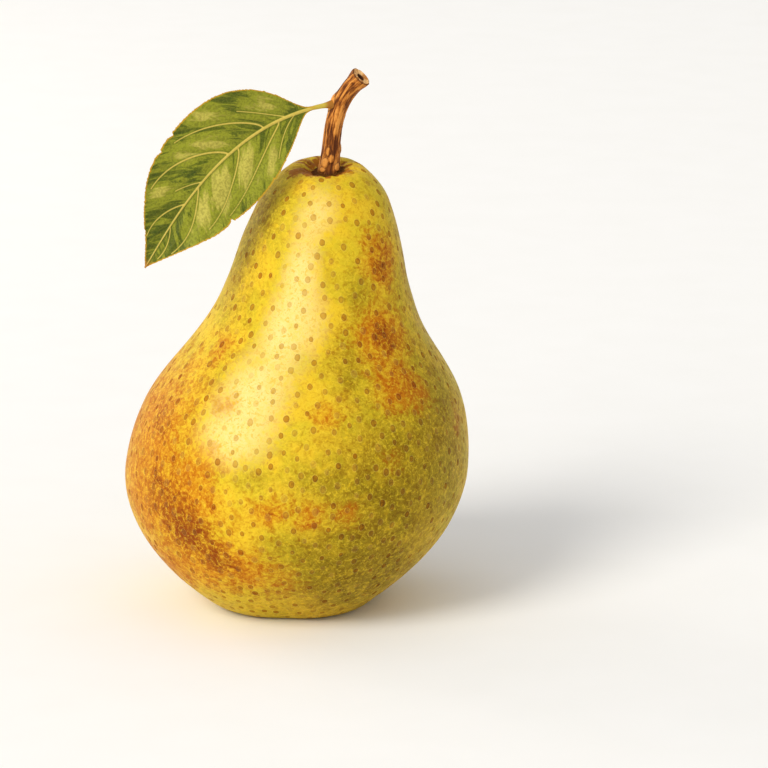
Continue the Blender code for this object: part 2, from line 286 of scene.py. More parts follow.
def loft(name, rings, material, sharp_angle=40):
    """A closed skin over rings of points, in metres, with a fan of triangles over each end ring."""
    rows, columns = rings.shape[:2]
    index = np.arange(rows * columns).reshape(rows, columns)
    beside = np.roll(index, -1, 1)
    quads = np.stack([index[:-1], beside[:-1], beside[1:], index[1:]], -1).reshape(-1, 4)
    foot = np.stack([np.full(columns, rows * columns), beside[0], index[0]], -1)
    top = np.stack([np.full(columns, rows * columns + 1), index[-1], beside[-1]], -1)
    points = np.concatenate([rings.reshape(-1, 3), rings[:1].mean(1), rings[-1:].mean(1)])
    mesh = bpy.data.meshes.new(name)
    mesh.from_pydata(points.tolist(), [], quads.tolist() + foot.tolist() + top.tolist())
    form = bmesh.new()
    form.from_mesh(mesh)
    bmesh.ops.recalc_face_normals(form, faces=form.faces)
    form.to_mesh(mesh)
    form.free()
    mesh.shade_smooth()
    mesh.set_sharp_from_angle(angle=math.radians(sharp_angle))
    mesh.materials.append(material)
    piece = bpy.data.objects.new(name, mesh)
    bpy.context.scene.collection.objects.link(piece)
    return piece


def keep(piece, name, values):
    """Stores a number or a vector for each point of a loft's rings, for the material to read."""
    kind, field = ("FLOAT", "value") if values.ndim == 2 else ("FLOAT_VECTOR", "vector")
    flat = values.reshape(values.shape[0] * values.shape[1], -1)
    flat = np.concatenate([flat, values[:1].mean(1).reshape(1, -1), values[-1:].mean(1).reshape(1, -1)])
    layer = piece.data.attributes.new(name, kind, "POINT")
    layer.data.foreach_set(field, flat.astype(np.float32).ravel())


def surface_normals(points):
    """Unit normals of a grid of points whose columns run round it, facing out."""
    around = np.roll(points, -1, 1) - np.roll(points, 1, 1)
    along = np.gradient(points, axis=0)
    normal = np.cross(around, along)
    return normal / np.maximum(np.linalg.norm(normal, axis=-1, keepdims=True), 1e-12)


stations = [
    (0.0, BASIN_DEPTH, 0),
    (BASIN_FLOOR_RADIUS, 0.92 * BASIN_DEPTH, -25),
    ((BASIN_FLOOR_RADIUS + 2 * FOOT_INNER_RADIUS) / 3, 0.27 * BASIN_DEPTH, -48),
    (FOOT_INNER_RADIUS, 0.0, 0),
    (FOOT_OUTER_RADIUS, 0.0, 0),
    *[(share * BELLY_RADIUS, rise * FRUIT_HEIGHT, heading) for share, rise, heading in FLANK],
    (CAVITY_RADIUS, FRUIT_HEIGHT, 180),
    (0.6 * CAVITY_RADIUS, FRUIT_HEIGHT - 0.7 * CAVITY_DEPTH, 210),
    (0.0, FRUIT_HEIGHT - CAVITY_DEPTH, 180),
]
curve = []
for here, there in zip(stations[:-1], stations[1:]):
    chord = math.dist(here[:2], there[:2])
    slopes = [
        chord * np.array((math.cos(math.radians(station[2])), math.sin(math.radians(station[2]))))
        for station in (here, there)
    ]
    share = np.linspace(0.0, 1.0, 60, endpoint=False)[:, None]
    curve.append(hermite(np.array(here[:2]), np.array(there[:2]), *slopes, share))
curve = np.concatenate(curve + [np.array([stations[-1][:2]])])

# Rows lie closer together in the basin and in the cavity, where the shapes are small
steps = np.linalg.norm(np.diff(curve, axis=0), axis=1)
steps = steps * np.where(curve[1:, 0] < 0.9 * FOOT_INNER_RADIUS, BASIN_ROWS_CLOSER, 1.0)
along = np.concatenate([[0.0], np.cumsum(steps)])
picks = np.linspace(END_ROW_GAP, 1.0 - END_ROW_GAP, FRUIT_ROWS) * along[-1]
radius = np.interp(picks, along, curve[:, 0])[:, None]
height = np.interp(picks, along, curve[:, 1])[:, None]
azimuth = np.linspace(-math.pi, math.pi, FRUIT_COLUMNS, endpoint=False)[None, :]


def lean_shape(share):
    """How far over the neck has leaned at this share of the height, as a share of its whole lean."""
    return share - LEAN_BOW * np.sin(math.pi * share) - LEAN_SWAY * np.sin(2 * math.pi * share)


def axis_x(height):
    """Where the middle of the fruit is at this height. It is 0 at the belly."""
    return NECK_LEAN * (lean_shape(height / FRUIT_HEIGHT) - lean_shape(BELLY_SHARE))


outward = np.clip((radius - FOOT_INNER_RADIUS) / (BELLY_RADIUS - FOOT_INNER_RADIUS), 0.0, 1.0)
around = 0.5 + 0.5 * np.cos(GROOVE_COUNT * (azimuth - GROOVE_TURN))
groove = GROOVE_DEPTH * around**2 * np.sin(math.pi * outward) ** 2
radius_in_groove = radius - np.where(height < BELLY_SHARE * FRUIT_HEIGHT, groove, 0.0)
pear_x = radius_in_groove * np.cos(azimuth) + axis_x(height)
pear_y = radius_in_groove * np.sin(azimuth) * (1.0 - OVAL / BELLY_RADIUS)
tilted = smooth_step((height / FRUIT_HEIGHT - TILT_FROM) / (1.0 - TILT_FROM))
pear_z = height + pear_y * math.tan(CROWN_TILT) * tilted
plain = np.stack([pear_x, pear_y, pear_z], -1)

# Real skin isn't turned: it has low swells all over, and pleats round the stem, where it rises to meet it
stem_x = axis_x(FRUIT_HEIGHT - CAVITY_DEPTH) + STEM_OFFSET
from_stem = np.hypot(pear_x - stem_x, pear_y)
round_stem = np.arctan2(pear_y, pear_x - stem_x)
in_crown = smooth_step((height / FRUIT_HEIGHT - 0.9) / 0.05)
off_foot = smooth_step(height / 8.0)
waves = np.cos(PLEAT_COUNT * round_stem + 1.6 * noise_at(plain, 5.0))
pleats = PLEAT_DEPTH * waves * bell(from_stem - PLEAT_DISTANCE, 2.4) * in_crown
swell = off_foot * sum(high * noise_at(plain, wide) for high, wide in SWELLS)
floor = CAVITY_FILL * bell(np.maximum(from_stem - 2.0, 0.0), 1.2) * in_crown
pear = plain + surface_normals(plain) * (swell + pleats + floor)[..., None]
pear[..., 2] = np.maximum(pear[..., 2], 0.0)


def turn_from(turn, place):
    """How far round each turn is from this one, from minus to plus half a turn."""
    return (turn - place + math.pi) % (2 * math.pi) - math.pi


def patches(places, turn, unit, rise):
    """How far each point lies in a set of soft oval patches, from 0 to 1."""
    bare = np.full(np.broadcast(turn, rise).shape, 1.0)
    for place_turn, place_rise, wide, tall, strength in places:
        gap = turn_from(turn, math.radians(place_turn))
        bare = bare * (1.0 - strength * bell(np.hypot(gap * unit / wide, (rise - place_rise) / tall), 1.0))
    return 1.0 - bare


# Where the sun coloured the skin and where it stayed green, in soft oval patches. The green also holds the
# leaf's painted shadow on the left shoulder and painted shade at the lower right. The pale patches down the
# upper left front are a painted highlight, and the two faint ones behind are paler skin. Each gives degrees
# round the fruit, height, half width and half height in mm, and strength
BLUSH = (
    (-150, 41, 12, 12, 0.88),
    (-146, 26, 14, 9, 0.95),
    (-131, 27, 11, 8, 0.92),
    (-150, 12, 14, 6, 0.85),
    (-117, 16, 12, 6, 0.92),
    (-98, 12, 9, 5, 0.42),
    (-124, 36, 5, 5, 0.60),
    (-41, 73, 5.4, 6.5, 0.97),
    (-50, 59, 8, 6.5, 0.97),
    (-50, 49, 6.5, 5, 0.80),
    (-38, 47, 5, 4, 0.50),
    (-81, 46, 3.8, 3.0, 0.78),
    (-120, 47, 2.8, 2.6, 0.62),
    (-140, 56, 3.5, 3, 0.70),
    (-98, 28, 4.5, 3.8, 0.76),
    (-85, 27, 4.5, 4, 0.70),
    (-72, 27, 3.5, 3.5, 0.62),
    (-58, 36, 5, 4, 0.45),
    (-90, 6, 10, 3, 0.20),
    (-52, 79, 3, 3, 0.50),
    (178, 38, 14, 15, 0.92),
    (158, 22, 13, 8, 0.80),
    (150, 58, 7, 9, 0.65),
    (112, 34, 7, 6, 0.60),
    (86, 66, 5, 6, 0.60),
    (62, 30, 9, 7, 0.70),
    (28, 52, 6, 8, 0.70),
    (8, 24, 8, 6, 0.60),
    (-18, 40, 5, 5, 0.50),
)
DEEP_BLUSH = (
    (-127, 22, 7, 5.5, 0.95),
    (-151, 42, 6, 6, 0.60),
    (-141, 29, 9, 7, 0.72),
    (-117, 16, 6, 3.5, 0.85),
    (-133, 24, 5, 4, 0.50),
    (-98, 28, 1.6, 1.4, 0.60),
    (-47, 58, 5, 5, 0.80),
    (-41, 73, 3.4, 4.5, 0.75),
    (-45, 49, 4, 3, 0.50),
    (172, 30, 7, 6, 0.60),
    (156, 20, 5, 4, 0.55),
    (62, 29, 4, 3, 0.45),
    (28, 53, 3, 4, 0.50),
)
# Green skin, with painted shade mixed in: the leaf's painted shadow and the shade at the lower right
GREEN_AND_SHADE = (
    (-58, 31, 17, 16, 0.95),
    # Painted shade at the lower right, over green skin
    (-58, 11, 15, 9, 1.00),
    (-70, 16, 13, 10, 0.90),
    (-28, 40, 14, 24, 0.80),
    (-62, 68, 3.5, 6, 0.55),
    (-70, 55, 4.5, 7, 0.62),
    # Painted shadow of the leaf on the left shoulder
    (-152, 80, 7, 8, 0.70),
    (-156, 68, 6, 8, 0.45),
    (-142, 62, 5, 7, 0.40),
    (-94, 20, 6, 4, 0.30),
    (-135, 50, 5, 4, 0.40),
    (-105, 34, 6, 3, 0.35),
    (-84, 34, 5, 3, 0.40),
    (20, 70, 12, 14, 0.80),
    (40, 18, 20, 14, 0.85),
    (100, 50, 20, 20, 0.75),
    (130, 78, 12, 9, 0.75),
    (95, 14, 16, 10, 0.80),
)
# Painted highlight along the upper left front, where the key light falls; the last two, behind, are paler
# skin
PALE_AND_HIGHLIGHT = (
    (-95, 84, 5, 5, 0.60),
    (-103, 72, 4, 9, 0.80),
    (-107, 60, 5, 9, 0.80),
    (-89, 62, 4, 7, 0.45),
    (-113, 49, 8, 7, 0.82),
    (-115, 41, 9, 6, 0.75),
    (75, 46, 8, 12, 0.40),
    (-10, 56, 5, 8, 0.30),
)

# Russet: corky brown in the basin, in the cavity, and in dashes that run out from the stem
DASH_COUNT = 74
russet = bell(np.maximum(from_stem - 2.6, 0.0), 0.75) * in_crown
dashes = np.zeros_like(from_stem)
draw = np.random.default_rng(11)
for number in range(DASH_COUNT):
    way = draw.uniform(-math.pi, math.pi)
    leftward = 0.5 - 0.5 * math.cos(way)
    reach = 3.6 + draw.uniform(0.6, 2.2) + 4.4 * leftward**2 * draw.random()
    width = draw.uniform(0.25, 0.45) + 0.25 * leftward
    gap = turn_from(round_stem, way)
    start = draw.uniform(2.2, 3.6)
    inside = smooth_step((from_stem - start) / 0.8) * smooth_step((reach - from_stem) / 0.9)
    dashes = np.maximum(dashes, draw.uniform(0.45, 1.0) * bell(gap * from_stem, width) * inside * in_crown)
in_basin = (1.0 - off_foot) * bell(np.maximum(radius - 5.0, 0.0), 2.6)

# Waxy skin: the wax gives it one broad, soft sheen over a mottled colour, with no sharp reflection
skin, tree = empty_material("waxy_pear_skin")
mm = add_node(
    tree,
    "ShaderNodeVectorMath",
    {0: add_node(tree, "ShaderNodeTexCoord", {}, "Object"), "Scale": TO_MM},
    operation="SCALE",
)
# Ripe skin differs in tone in flecks of 0.7 mm, strokes of 3 mm and clouds of 7 mm, and in a net of 1.5 mm.
# All are far coarser than its real cells, so that they show
fleck = add_node(
    tree,
    "ShaderNodeTexNoise",
    {"Vector": mm, "Scale": 1 / 0.68, "Detail": 3.0, "Roughness": 0.6, "Distortion": 0.7},
)
stroke = add_node(
    tree,
    "ShaderNodeTexNoise",
    {"Vector": mm, "Scale": 1 / 2.8, "Detail": 2.5, "Roughness": 0.55, "Distortion": 0.9},
)
cloud = add_node(tree, "ShaderNodeTexNoise", {"Vector": mm, "Scale": 1 / 7.0, "Detail": 2.0})
bend = add_node(tree, "ShaderNodeTexNoise", {"Vector": mm, "Scale": 1 / 1.4, "Detail": 2.0}, "Color")
bent = add_node(
    tree, "ShaderNodeVectorMath", {0: bend, 1: (2.4, 2.4, 2.4), 2: mm}, operation="MULTIPLY_ADD"
)
net = add_node(tree, "ShaderNodeTexVoronoi", {"Vector": bent, "Scale": 1 / 1.5}, feature="DISTANCE_TO_EDGE")
zone = {
    name: add_node(tree, "ShaderNodeAttribute", {}, "Fac", attribute_name=name)
    for name in ("blush", "deep_blush", "green_and_shade", "pale", "russet", "dashes")
}
# Each zone's edge is broken up by the strokes and the flecks
rough_edge = add_node(tree, "ShaderNodeMath", {0: stroke, 1: 0.9, 2: -0.45}, operation="MULTIPLY_ADD")
fine_edge = add_node(tree, "ShaderNodeMath", {0: fleck, 1: 0.8, 2: -0.40}, operation="MULTIPLY_ADD")
edge = add_node(tree, "ShaderNodeMath", {0: rough_edge, 1: fine_edge}, operation="ADD")
amount = {}
for name, low, high, ragged in (
    ("blush", 0.20, 0.94, 1.0),
    ("deep_blush", 0.32, 1.02, 1.0),
    ("green_and_shade", 0.00, 1.15, 0.5),
    ("pale", 0.15, 0.95, 0.6),
    ("russet", 0.25, 0.60, 1.0),
    ("dashes", 0.20, 0.60, 1.0),
):
    broken = add_node(tree, "ShaderNodeMath", {0: edge, 1: ragged, 2: zone[name]}, operation="MULTIPLY_ADD")
    gate = add_node(
        tree,
        "ShaderNodeMapRange",
        {"Value": zone[name], "From Min": 0.06, "From Max": 0.32},
        interpolation_type="SMOOTHSTEP",
    )
    eased = add_node(
        tree,
        "ShaderNodeMapRange",
        {"Value": broken, "From Min": low, "From Max": high},
        interpolation_type="SMOOTHSTEP",
    )
    amount[name] = add_node(tree, "ShaderNodeMath", {0: gate, 1: eased}, operation="MULTIPLY")

# Yellow ground, warmer and greener by clouds
color = tinted(tree, linear("#D0B524"), linear("#E0BA28"), cloud, 0.40, 0.60)
# Over the ground: pale, green and blush tones. The pale is mostly a painted highlight, and the green holds
# painted shade
for name, tone, most in (
    ("pale", "#F3DC90", 0.90),
    ("green_and_shade", "#7E6606", 0.92),
    ("blush", "#C26F06", 0.88),
    ("deep_blush", "#8A3E04", 0.88),
):
    part = add_node(tree, "ShaderNodeMath", {0: amount[name], 1: most}, operation="MULTIPLY")
    color = add_node(
        tree, "ShaderNodeMix", {"Factor": part, "A": color, "B": linear(tone)}, data_type="RGBA"
    )
# Strokes and flecks of darker, warmer cells, light flecks, and a broken net of thin pale lines. Under the
# painted highlight the skin is the most even, with yellow flecks
calm = add_node(tree, "ShaderNodeMapRange", {"Value": amount["pale"], "To Min": 1.0, "To Max": 0.35})
for pattern, low, high, most, tone, within, blend in (
    (fleck, 0.50, 0.62, 0.75, "#E6BE34", amount["pale"], "MIX"),
    (stroke, 0.50, 0.68, 0.34, "#D6AE38", calm, "MULTIPLY"),
    (fleck, 0.50, 0.68, 0.46, "#CDA038", calm, "MULTIPLY"),
    (fleck, 0.46, 0.30, 0.34, "#F0C61C", None, "MIX"),
    (stroke, 0.46, 0.32, 0.18, "#ECC01C", None, "MIX"),
):
    color = tinted(tree, color, linear(tone), pattern, low, high, most, within, blend)
there = add_node(
    tree,
    "ShaderNodeMapRange",
    {"Value": fleck, "From Min": 0.60, "From Max": 0.44, "To Max": 0.34},
    interpolation_type="SMOOTHSTEP",
)
color = tinted(tree, color, linear("#EACA38"), net, 0.075, 0.015, within=there)
for name, tone, most in (("dashes", "#A05A14", 0.90), ("russet", "#54290C", 0.95)):
    part = add_node(tree, "ShaderNodeMath", {0: amount[name], 1: most}, operation="MULTIPLY")
    color = add_node(
        tree, "ShaderNodeMix", {"Factor": part, "A": color, "B": linear(tone)}, data_type="RGBA"
    )
# Lenticels: oval corky pores, darker than the skin, with a darker rim and a faint pale ring. At 1 by 1.3 mm
# they are coarser than most real ones, so that they show
pore = add_node(tree, "ShaderNodeAttribute", {}, "Vector", attribute_name="lenticel")
flat_pore = add_node(tree, "ShaderNodeVectorMath", {0: pore, 1: (1.0, 1.0, 0.0)}, operation="MULTIPLY")
pore_tone = add_node(tree, "ShaderNodeSeparateXYZ", {"Vector": pore}, "Z")
pore_distance = add_node(tree, "ShaderNodeVectorMath", {0: flat_pore}, "Value", operation="LENGTH")
pore_distance = add_node(
    tree, "ShaderNodeMath", {0: fleck, 1: 0.7, 2: pore_distance}, operation="MULTIPLY_ADD"
)
color = tinted(tree, color, linear("#F6DE78"), pore_distance, 1.66, 1.45, 0.10)
inside = add_node(
    tree,
    "ShaderNodeMapRange",
    {"Value": pore_distance, "From Min": 1.46, "From Max": 1.20},
    interpolation_type="SMOOTHSTEP",
)
pore_color = tinted(tree, linear("#A0661C"), linear("#C49632"), pore_distance, 1.22, 0.98)
tone = add_node(tree, "ShaderNodeMapRange", {"Value": pore_tone, "To Min": 0.30, "To Max": 0.92})
# Lenticels fade under the painted highlight, as the rest of the mottling does
faint = add_node(tree, "ShaderNodeMapRange", {"Value": amount["pale"], "To Min": 1.0, "To Max": 0.6})
tone = add_node(tree, "ShaderNodeMath", {0: tone, 1: faint}, operation="MULTIPLY")
pore_amount = add_node(tree, "ShaderNodeMath", {0: inside, 1: tone}, operation="MULTIPLY")
color = add_node(
    tree,
    "ShaderNodeMix",
    {"Factor": pore_amount, "A": color, "B": pore_color},
    data_type="RGBA",
    blend_type="MULTIPLY",
)
# The wax is smooth between the pores, which stand a few hundredths of a millimetre proud, and russet is matt
uneven = add_node(tree, "ShaderNodeMath", {0: stroke, 1: fleck}, operation="ADD")
relief = add_node(tree, "ShaderNodeMath", {0: pore_amount, 1: 1.2, 2: uneven}, operation="MULTIPLY_ADD")
wax = add_node(
    tree,
    "ShaderNodeMapRange",
    {"Value": stroke, "From Min": 0.3, "From Max": 0.7, "To Min": 0.42, "To Max": 0.54},
)
corky = add_node(tree, "ShaderNodeMath", {0: amount["russet"], 1: pore_amount}, operation="MAXIMUM")
gloss = add_node(tree, "ShaderNodeMath", {0: corky, 1: 0.25, 2: wax}, operation="MULTIPLY_ADD")
surfaced(tree, color, gloss, 0.09, relief, 0.6, 0.00008)

fruit = loft("fruit_skin", on_node(pear, plain, "fruit"), skin)
for name, places in (("blush", BLUSH), ("deep_blush", DEEP_BLUSH), ("green_and_shade", GREEN_AND_SHADE), ("pale", PALE_AND_HIGHLIGHT)):
    keep(fruit, name, patches(places, azimuth, radius, height))
keep(fruit, "russet", np.maximum(russet, in_basin))
keep(fruit, "dashes", dashes)

# Lenticels are scattered evenly by area and never touch. Each face keeps how far its corners are from the
# nearest one, so that the material can draw it sharply whatever the size of the faces.
LENTICEL_COUNT = 1500
LENTICEL_SPACING = 2.3
HALF_WIDTH = 0.53
HALF_HEIGHT = 0.66
LENTICEL_TRIES = 12000
across = np.roll(pear, -1, 1) - pear
upward = np.gradient(pear, axis=0)
area = np.linalg.norm(np.cross(across, upward), axis=-1)
bare = (from_stem < 4.0) & (height > 0.9 * FRUIT_HEIGHT) | (radius < 0.9 * FOOT_INNER_RADIUS) & (height < 6)
chance = np.where(bare, 0.0, area).ravel()
draw = np.random.default_rng(5)
tries = draw.choice(chance.size, LENTICEL_TRIES, p=chance / chance.sum())
points = pear.reshape(-1, 3)
kept = [tries[0]]
for number in tries[1:]:
    spacing = LENTICEL_SPACING * draw.uniform(0.92, 1.35)
    if len(kept) < LENTICEL_COUNT and np.linalg.norm(points[kept] - points[number], axis=1).min() > spacing:
        kept.append(number)
spots = points[kept]
nearest_spot = KDTree(len(spots))
for number, place in enumerate(spots):
    nearest_spot.insert(place, number)
nearest_spot.balance()

mesh = fruit.data
corner_point = np.empty(len(mesh.loops), np.int32)
mesh.loops.foreach_get("vertex_index", corner_point)
face_sizes = np.empty(len(mesh.polygons), np.int32)
mesh.polygons.foreach_get("loop_total", face_sizes)
centers = np.empty(len(mesh.polygons) * 3, np.float32)
mesh.polygons.foreach_get("center", centers)
centers = centers.reshape(-1, 3) * TO_MM
owner = np.array([nearest_spot.find(center)[1] for center in centers])
corner_owner = np.repeat(owner, face_sizes)
places = np.empty(len(mesh.vertices) * 3, np.float32)
mesh.vertices.foreach_get("co", places)
offset = places.reshape(-1, 3)[corner_point] * TO_MM - spots[corner_owner]
spot_x = spots[:, 0] - axis_x(spots[:, 2])
sideways = np.stack([-spots[:, 1], spot_x, np.zeros(len(spots))], -1)
sideways /= np.linalg.norm(sideways, axis=1, keepdims=True)
lengthways = np.cross(surface_normals(pear).reshape(-1, 3)[kept], sideways)
sizes = draw.uniform(0.78, 1.15, len(spots))
tones = draw.beta(1.6, 1.2, len(spots))
measure = np.stack(
    [
        (offset * sideways[corner_owner]).sum(1) / (HALF_WIDTH * sizes[corner_owner]),
        (offset * lengthways[corner_owner]).sum(1) / (HALF_HEIGHT * sizes[corner_owner]),
        tones[corner_owner],
    ],
    -1,
)
layer = mesh.attributes.new("lenticel", "FLOAT_VECTOR", "CORNER")
layer.data.foreach_set("vector", measure.astype(np.float32).ravel())

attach(fruit, "root")
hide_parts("fruit")


# Stem: the woody stalk, grown in one with the flesh and swollen where it was cut from the spur.
# It is thin brown bark with long ridges over pale wood, with small knobs at its foot and a hollow pith.

STEM_RADIUS = 1.75
STEM_FOOT_RADIUS = 2.2
STEM_FOOT_LENGTH = 3.5
STEM_TIP_RADIUS = 2.1
STEM_TIP_LENGTH = 2.0
SOCKET_DEPTH = 4.2
STEM_PATH = (
    (0.0, 0.0, 0.0),
    (0.3, 0.0, 2.9),
    (0.9, -0.4, 9.0),
    (2.1, -1.0, 13.5),
    (4.0, -2.0, 17.2),
    (6.4, -3.0, 19.9),
)
# Turn round the stem from its front, height above the seat, half width, half height and rise, in mm
KNOBS = (
    (-27, 2.6, 0.55, 0.85, 0.34),
    (6, 3.6, 0.50, 0.75, 0.30),
    (-38, 1.1, 0.55, 0.45, 0.28),
    (48, 1.9, 0.60, 0.70, 0.30),
    (-16, 5.0, 0.42, 0.80, 0.18),
    (140, 2.4, 0.60, 0.80, 0.32),
    (-130, 3.0, 0.60, 0.90, 0.30),
    (95, 5.4, 0.45, 0.80, 0.20),
    (175, 9.0, 0.45, 0.90, 0.20),
    (-90, 14.0, 1.15, 1.30, 0.30),
)
# The cut end, from the lip of bark over the wood into the pith: share of the radius, and mm past the end
CUT_END = (
    (1.00, 0.06),
    (0.97, 0.17),
    (0.91, 0.24),
    (0.85, 0.20),
    (0.80, 0.08),
    (0.72, 0.02),
    (0.60, 0.03),
    (0.48, 0.06),
    (0.40, 0.03),
    (0.36, -0.12),
    (0.33, -0.50),
    (0.30, -1.00),
    (0.22, -1.45),
    (0.10, -1.50),
)
STEM_COLUMNS = 96
SPAN_ROWS = 44
RIDGE_HEIGHT = 0.14
FINE_RIDGE_HEIGHT = 0.06
BULGE_HEIGHT = 0.12
TALLEST_KNOB = 0.34

path = np.array(STEM_PATH)
bends = np.array([(path[min(i + 1, 5)] - path[max(i - 1, 0)]) / 2 for i in range(6)])
share = np.linspace(0.0, 1.0, SPAN_ROWS, endpoint=False)[:, None]
spans = [hermite(path[i], path[i + 1], bends[i], bends[i + 1], share) for i in range(5)]
line = np.concatenate(spans + [path[-1:]])
down = (line[0] - line[1]) / np.linalg.norm(line[0] - line[1]) * SOCKET_DEPTH
line = np.concatenate([line[0] + down * np.linspace(1.0, 0.0, 16, endpoint=False)[:, None], line])
tangent = np.gradient(line, axis=0)
tangent /= np.linalg.norm(tangent, axis=1, keepdims=True)
front = np.array((0.0, -1.0, 0.0))
forward = front - tangent * (tangent @ front)[:, None]
forward /= np.linalg.norm(forward, axis=1, keepdims=True)
right = np.cross(tangent, forward)
turn = np.linspace(-math.pi, math.pi, STEM_COLUMNS, endpoint=False)[None, :]
outward = np.cos(turn)[..., None] * forward[:, None] + np.sin(turn)[..., None] * right[:, None]
stem_rise = line[:, 2:3]
to_tip = np.linalg.norm(line[-1] - line, axis=1)[:, None]
swelling = (STEM_FOOT_RADIUS - STEM_RADIUS) * bell(np.maximum(stem_rise, 0.0), STEM_FOOT_LENGTH)
flare = (STEM_TIP_RADIUS - STEM_RADIUS) * bell(to_tip, STEM_TIP_LENGTH)
plain_radius = (STEM_RADIUS + swelling + flare) * np.ones_like(turn)
plain_stem = line[:, None] + outward * plain_radius[..., None]

length = np.concatenate([[0.0], np.cumsum(np.linalg.norm(np.diff(line, axis=0), axis=1))])[:, None]
bark_way = np.stack(
    [np.cos(turn) * plain_radius, np.sin(turn) * plain_radius, length * np.ones_like(turn)], -1
)
ridges = noise_at(bark_way * (1.0, 1.0, 0.12), 0.80)
fine_ridges = noise_at(bark_way * (1.0, 1.0, 0.30), 0.42)
bulge = noise_at(bark_way, 3.2)
in_air = smooth_step((stem_rise + 1.0) / 1.5)
bark_relief = in_air * (RIDGE_HEIGHT * ridges + FINE_RIDGE_HEIGHT * fine_ridges + BULGE_HEIGHT * bulge)
knob = np.zeros_like(plain_radius)
for knob_turn, knob_rise, wide, tall, rise_by in KNOBS:
    gap = turn_from(turn, math.radians(knob_turn))
    spread = np.hypot(gap * plain_radius / wide, (stem_rise - knob_rise) / tall)
    knob = np.maximum(knob, rise_by * smooth_step(1.6 - spread))
stem_rings = line[:, None] + outward * (plain_radius + bark_relief + knob)[..., None]
tip_radius = (plain_radius + bark_relief)[-1]
uneven = 1.0 + 0.05 * noise_at(outward[-1] * 1.3, 1.0)
cut_rings = []
for share, past in CUT_END:
    shape = share * (uneven if share < 0.9 else np.ones_like(uneven))
    cut_rings.append(line[-1] + outward[-1] * (tip_radius * shape)[:, None] + tangent[-1] * past)
stem_rings = np.concatenate([stem_rings, np.array(cut_rings)])
ends = len(CUT_END)
cut_share = np.array([1.0 - share for share, past in CUT_END])[:, None] * np.ones_like(turn)

# Bark: dull and furrowed, so that it catches the light only along its ridges
bark, tree = empty_material("pear_wood_bark")
way = add_node(tree, "ShaderNodeAttribute", {}, "Vector", attribute_name="bark_way")
stretched = add_node(tree, "ShaderNodeVectorMath", {0: way, 1: (1.0, 1.0, 0.12)}, operation="MULTIPLY")
streak = add_node(
    tree,
    "ShaderNodeTexNoise",
    {"Vector": stretched, "Scale": 1 / 0.36, "Detail": 4.0, "Roughness": 0.62, "Distortion": 0.3},
)
flake = add_node(tree, "ShaderNodeTexNoise", {"Vector": way, "Scale": 1 / 0.8, "Detail": 3.0})
raised, knobby, cut, foot = (
    add_node(tree, "ShaderNodeAttribute", {}, "Fac", attribute_name=name)
    for name in ("raised", "knob", "cut", "foot")
)
# Bark is darkest in its furrows and orange tan on its ridges and knobs
level = add_node(tree, "ShaderNodeMath", {0: raised, 1: 0.22, 2: streak}, operation="MULTIPLY_ADD")
level = add_node(tree, "ShaderNodeMath", {0: knobby, 1: 0.30, 2: level}, operation="MULTIPLY_ADD")
color = tinted(tree, linear("#552808"), linear("#AC621C"), level, 0.36, 0.58)
color = tinted(tree, color, linear("#DE9440"), level, 0.49, 0.66)
color = tinted(tree, color, linear("#6B3410"), flake, 0.55, 0.75, 0.25)
color = add_node(
    tree, "ShaderNodeMix", {"Factor": foot, "A": color, "B": linear("#3A1B0A")}, data_type="RGBA"
)
# The cut shows pale, stained wood round the dark pith, inside a dark lip of bark
wood_color = tinted(tree, linear("#FAC884"), linear("#C07A36"), flake, 0.38, 0.62)
color = tinted(tree, color, wood_color, cut, 0.08, 0.14)
color = tinted(tree, color, linear("#4C260E"), cut, 0.56, 0.64)
dull = add_node(tree, "ShaderNodeMapRange", {"Value": level, "To Min": 0.85, "To Max": 0.55})
grain = add_node(tree, "ShaderNodeMath", {0: streak, 1: flake}, operation="ADD")
surfaced(tree, color, dull, 0.2, grain, 0.8, 0.00018)

stem = loft("stem_bark", on_node(stem_rings, plain_stem, "stem"), bark, sharp_angle=60)
keep(stem, "bark_way", np.concatenate([bark_way, np.repeat(bark_way[-1:], ends, 0)]))
keep(stem, "raised", np.concatenate([ridges, np.repeat(ridges[-1:], ends, 0)]))
keep(stem, "knob", np.concatenate([knob / TALLEST_KNOB, np.zeros_like(cut_share)]))
keep(stem, "cut", np.concatenate([np.zeros_like(knob), cut_share]))
ring_round = smooth_step(knob / 0.07) * smooth_step(1.6 - knob / 0.09)
dark_foot = 0.75 * bell(np.maximum(stem_rise, 0.0), 1.1) * np.ones_like(turn) * (1.0 - knob / TALLEST_KNOB)
dark_foot = np.clip(dark_foot + 0.8 * ring_round, 0.0, 1.0)
keep(stem, "foot", np.concatenate([dark_foot, 0.75 * bell(cut_share - 0.03, 0.05)]))
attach(stem, "root")
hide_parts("stem")


# Leaf: a thin green blade on a pale petiole that springs from the stem. Its midrib and side veins stand in
# shallow valleys on the face and stand proud on the back, and its edge is finely toothed.

